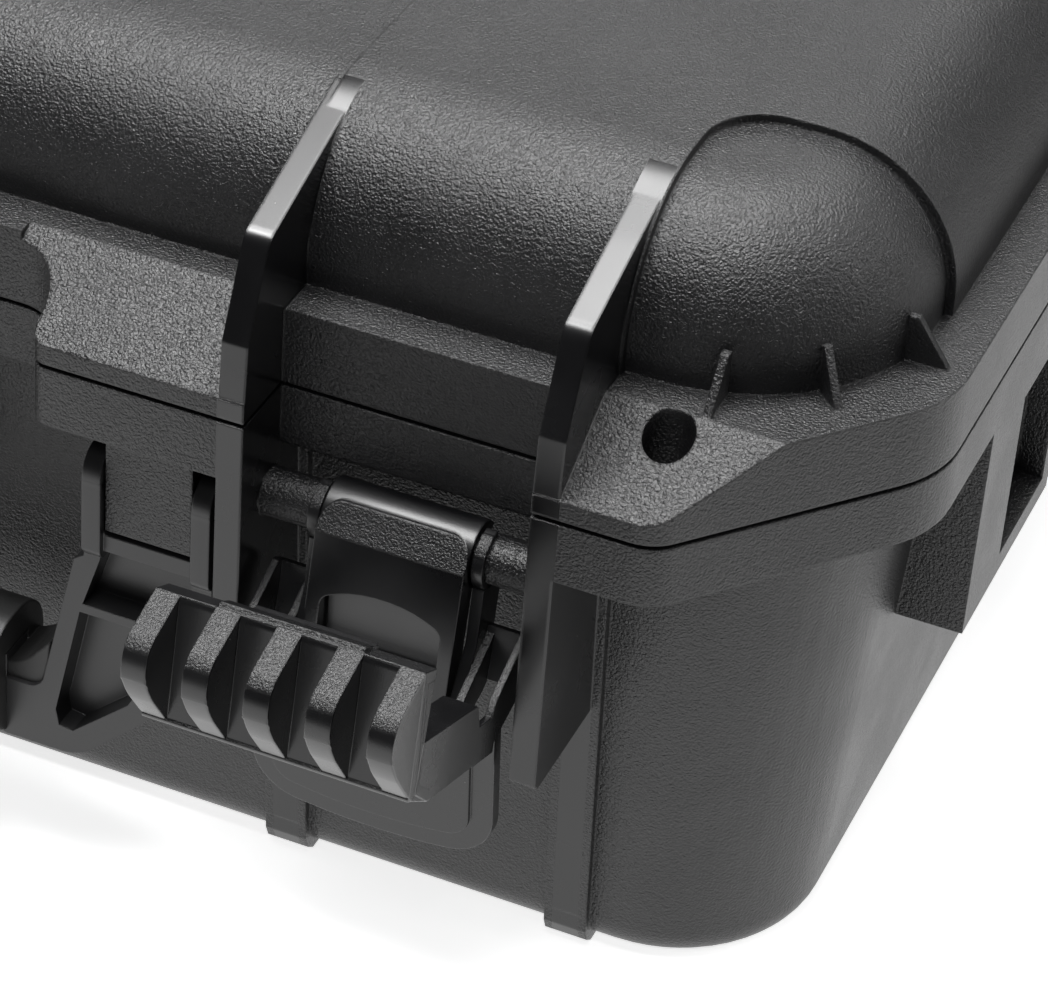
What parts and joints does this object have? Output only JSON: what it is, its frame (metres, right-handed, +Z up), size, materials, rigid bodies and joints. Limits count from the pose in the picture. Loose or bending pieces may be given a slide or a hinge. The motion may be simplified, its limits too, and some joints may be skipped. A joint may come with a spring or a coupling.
{
  "type": "graded card case",
  "caption": "Hard moulded carrying case with a hinged lid, front latches, a swinging handle, padlock holes and foam slots for upright graded trading cards.",
  "frame": {"origin": "middle of the flat underside of the base", "axes": "+X to the case's right along its length, +Y from the latches to the hinges, +Z up to the lid"},
  "size_m": [0.412, 0.3862, 0.176],
  "materials": {
    "shell": "black, finely grained moulded polypropylene",
    "latch": "black satin moulded nylon",
    "handle": "black satin moulded nylon",
    "grip": "soft black overmoulding",
    "pin": "drawn steel rod",
    "seal": "smooth black rubber cord",
    "foam": "dark closed-cell foam",
    "valve": "black satin plastic"
  },
  "bodies": {
    "base": {"base_shell": "shell", "foam_floor": "foam", "foam_insert": "foam", "valve_seal": "seal", "valve_body": "valve", "valve_cap": "valve", "hinge_pins": "pin", "handle_pins": "pin"},
    "lid": {"lid_shell": "shell", "lid_seal": "seal", "lid_foam": "foam"},
    "handle": {"handle_frame": "handle", "handle_grip": "grip"},
    "right_clip": {"right_clip": "latch", "right_pull_pin": "pin", "right_pull": "latch"},
    "right_claw": {"right_claw": "latch"},
    "left_clip": {"left_clip": "latch", "left_pull_pin": "pin", "left_pull": "latch"},
    "left_claw": {"left_claw": "latch"}
  },
  "joints": [
    {"name": "lid_hinge", "type": "hinge", "parent": "base", "child": "lid", "pos_m": [0, 0.159, 0.127], "axis": [-1, 0, 0], "range_deg": [0, 105]},
    {"name": "handle_swing", "type": "hinge", "parent": "base", "child": "handle", "pos_m": [0, -0.1585, 0.1015], "axis": [-1, 0, 0], "range_deg": [0, 90]},
    {"name": "right_clip_swing", "type": "hinge", "parent": "base", "child": "right_clip", "pos_m": [0.116, -0.156, 0.1055], "axis": [-1, 0, 0], "range_deg": [-12, 4]},
    {"name": "right_claw_swing", "type": "hinge", "parent": "base", "child": "right_claw", "pos_m": [0.116, -0.156, 0.1055], "axis": [1, 0, 0], "range_deg": [-90, 0]},
    {"name": "left_clip_swing", "type": "hinge", "parent": "base", "child": "left_clip", "pos_m": [-0.116, -0.156, 0.1055], "axis": [-1, 0, 0], "range_deg": [-12, 4]},
    {"name": "left_claw_swing", "type": "hinge", "parent": "base", "child": "left_claw", "pos_m": [-0.116, -0.156, 0.1055], "axis": [1, 0, 0], "range_deg": [-90, 0]}
  ]
}
